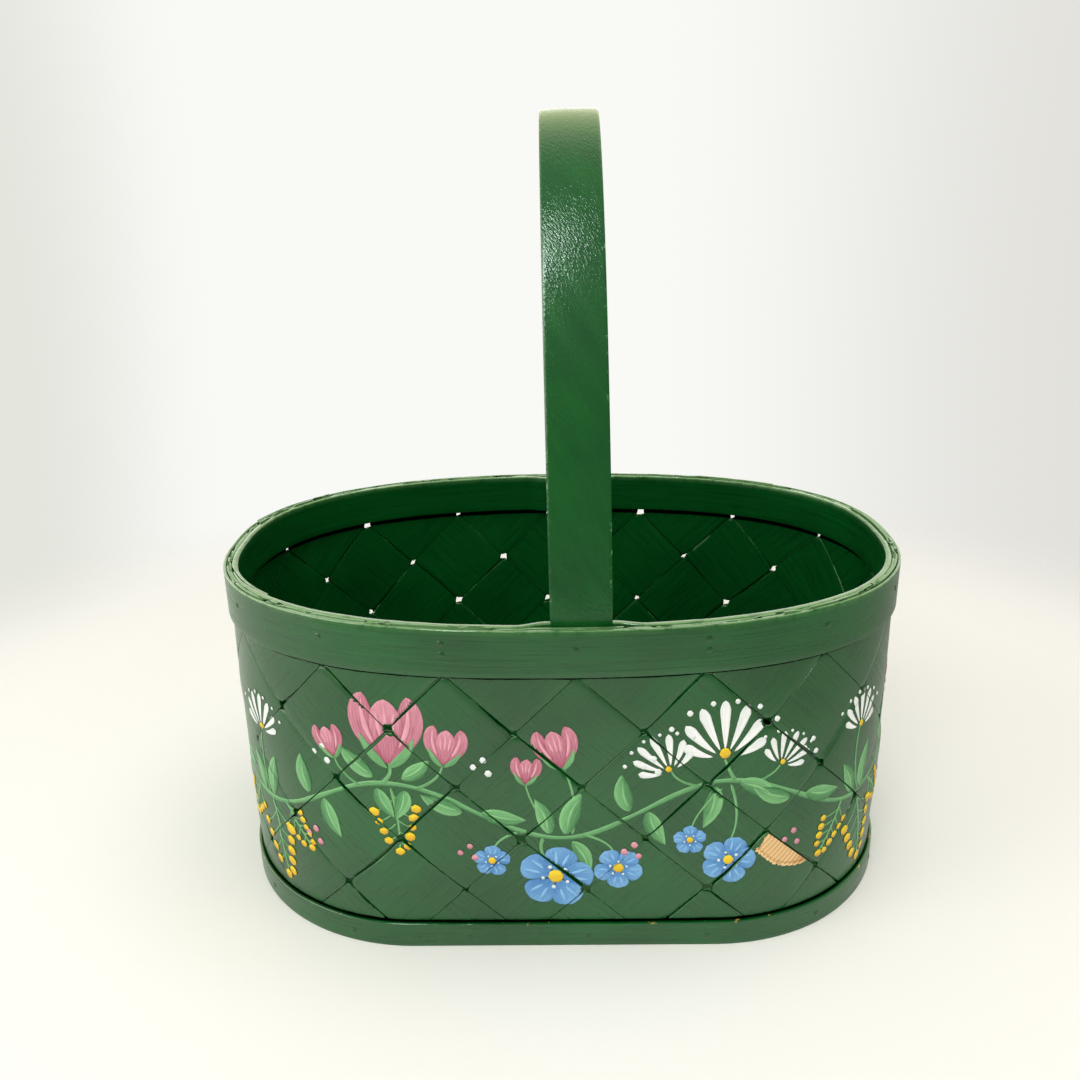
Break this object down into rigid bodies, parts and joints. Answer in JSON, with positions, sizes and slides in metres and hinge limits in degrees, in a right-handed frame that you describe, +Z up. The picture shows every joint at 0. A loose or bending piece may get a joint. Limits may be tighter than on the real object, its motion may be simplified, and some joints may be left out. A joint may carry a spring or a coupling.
{
  "type": "wooden basket",
  "caption": "Oval basket of wide painted wooden splints plaited on the slant, with nailed rim and bottom bands, a board base and one bent hoop handle.",
  "frame": {"origin": "middle of the base, on the surface that the bottom band stands on", "axes": "+Z up to the top of the hoop, +X along the basket's length, +Y to the back"},
  "size_m": [0.3614, 0.2408, 0.4],
  "materials": {
    "splint_paint": "satin",
    "band_paint": "satin",
    "handle_paint": "gloss",
    "board_paint": "satin",
    "nail_paint": "satin"
  },
  "bodies": {
    "root": {"right_splint_01": "splint_paint", "right_splint_02": "splint_paint", "right_splint_03": "splint_paint", "right_splint_04": "splint_paint", "right_splint_05": "splint_paint", "right_splint_06": "splint_paint", "right_splint_07": "splint_paint", "right_splint_08": "splint_paint", "right_splint_09": "splint_paint", "right_splint_10": "splint_paint", "right_splint_11": "splint_paint", "right_splint_12": "splint_paint", "right_splint_13": "splint_paint", "right_splint_14": "splint_paint", "right_splint_15": "splint_paint", "right_splint_16": "splint_paint", "left_splint_01": "splint_paint", "left_splint_02": "splint_paint", "left_splint_03": "splint_paint", "left_splint_04": "splint_paint", "left_splint_05": "splint_paint", "left_splint_06": "splint_paint", "left_splint_07": "splint_paint", "left_splint_08": "splint_paint", "left_splint_09": "splint_paint", "left_splint_10": "splint_paint", "left_splint_11": "splint_paint", "left_splint_12": "splint_paint", "left_splint_13": "splint_paint", "left_splint_14": "splint_paint", "left_splint_15": "splint_paint", "left_splint_16": "splint_paint", "base_board": "board_paint", "bottom_band": "band_paint", "outer_rim_band": "band_paint", "inner_rim_band": "band_paint", "handle": "handle_paint", "rim_nails": "nail_paint", "handle_nails": "nail_paint", "bottom_nails": "nail_paint"}
  },
  "joints": []
}
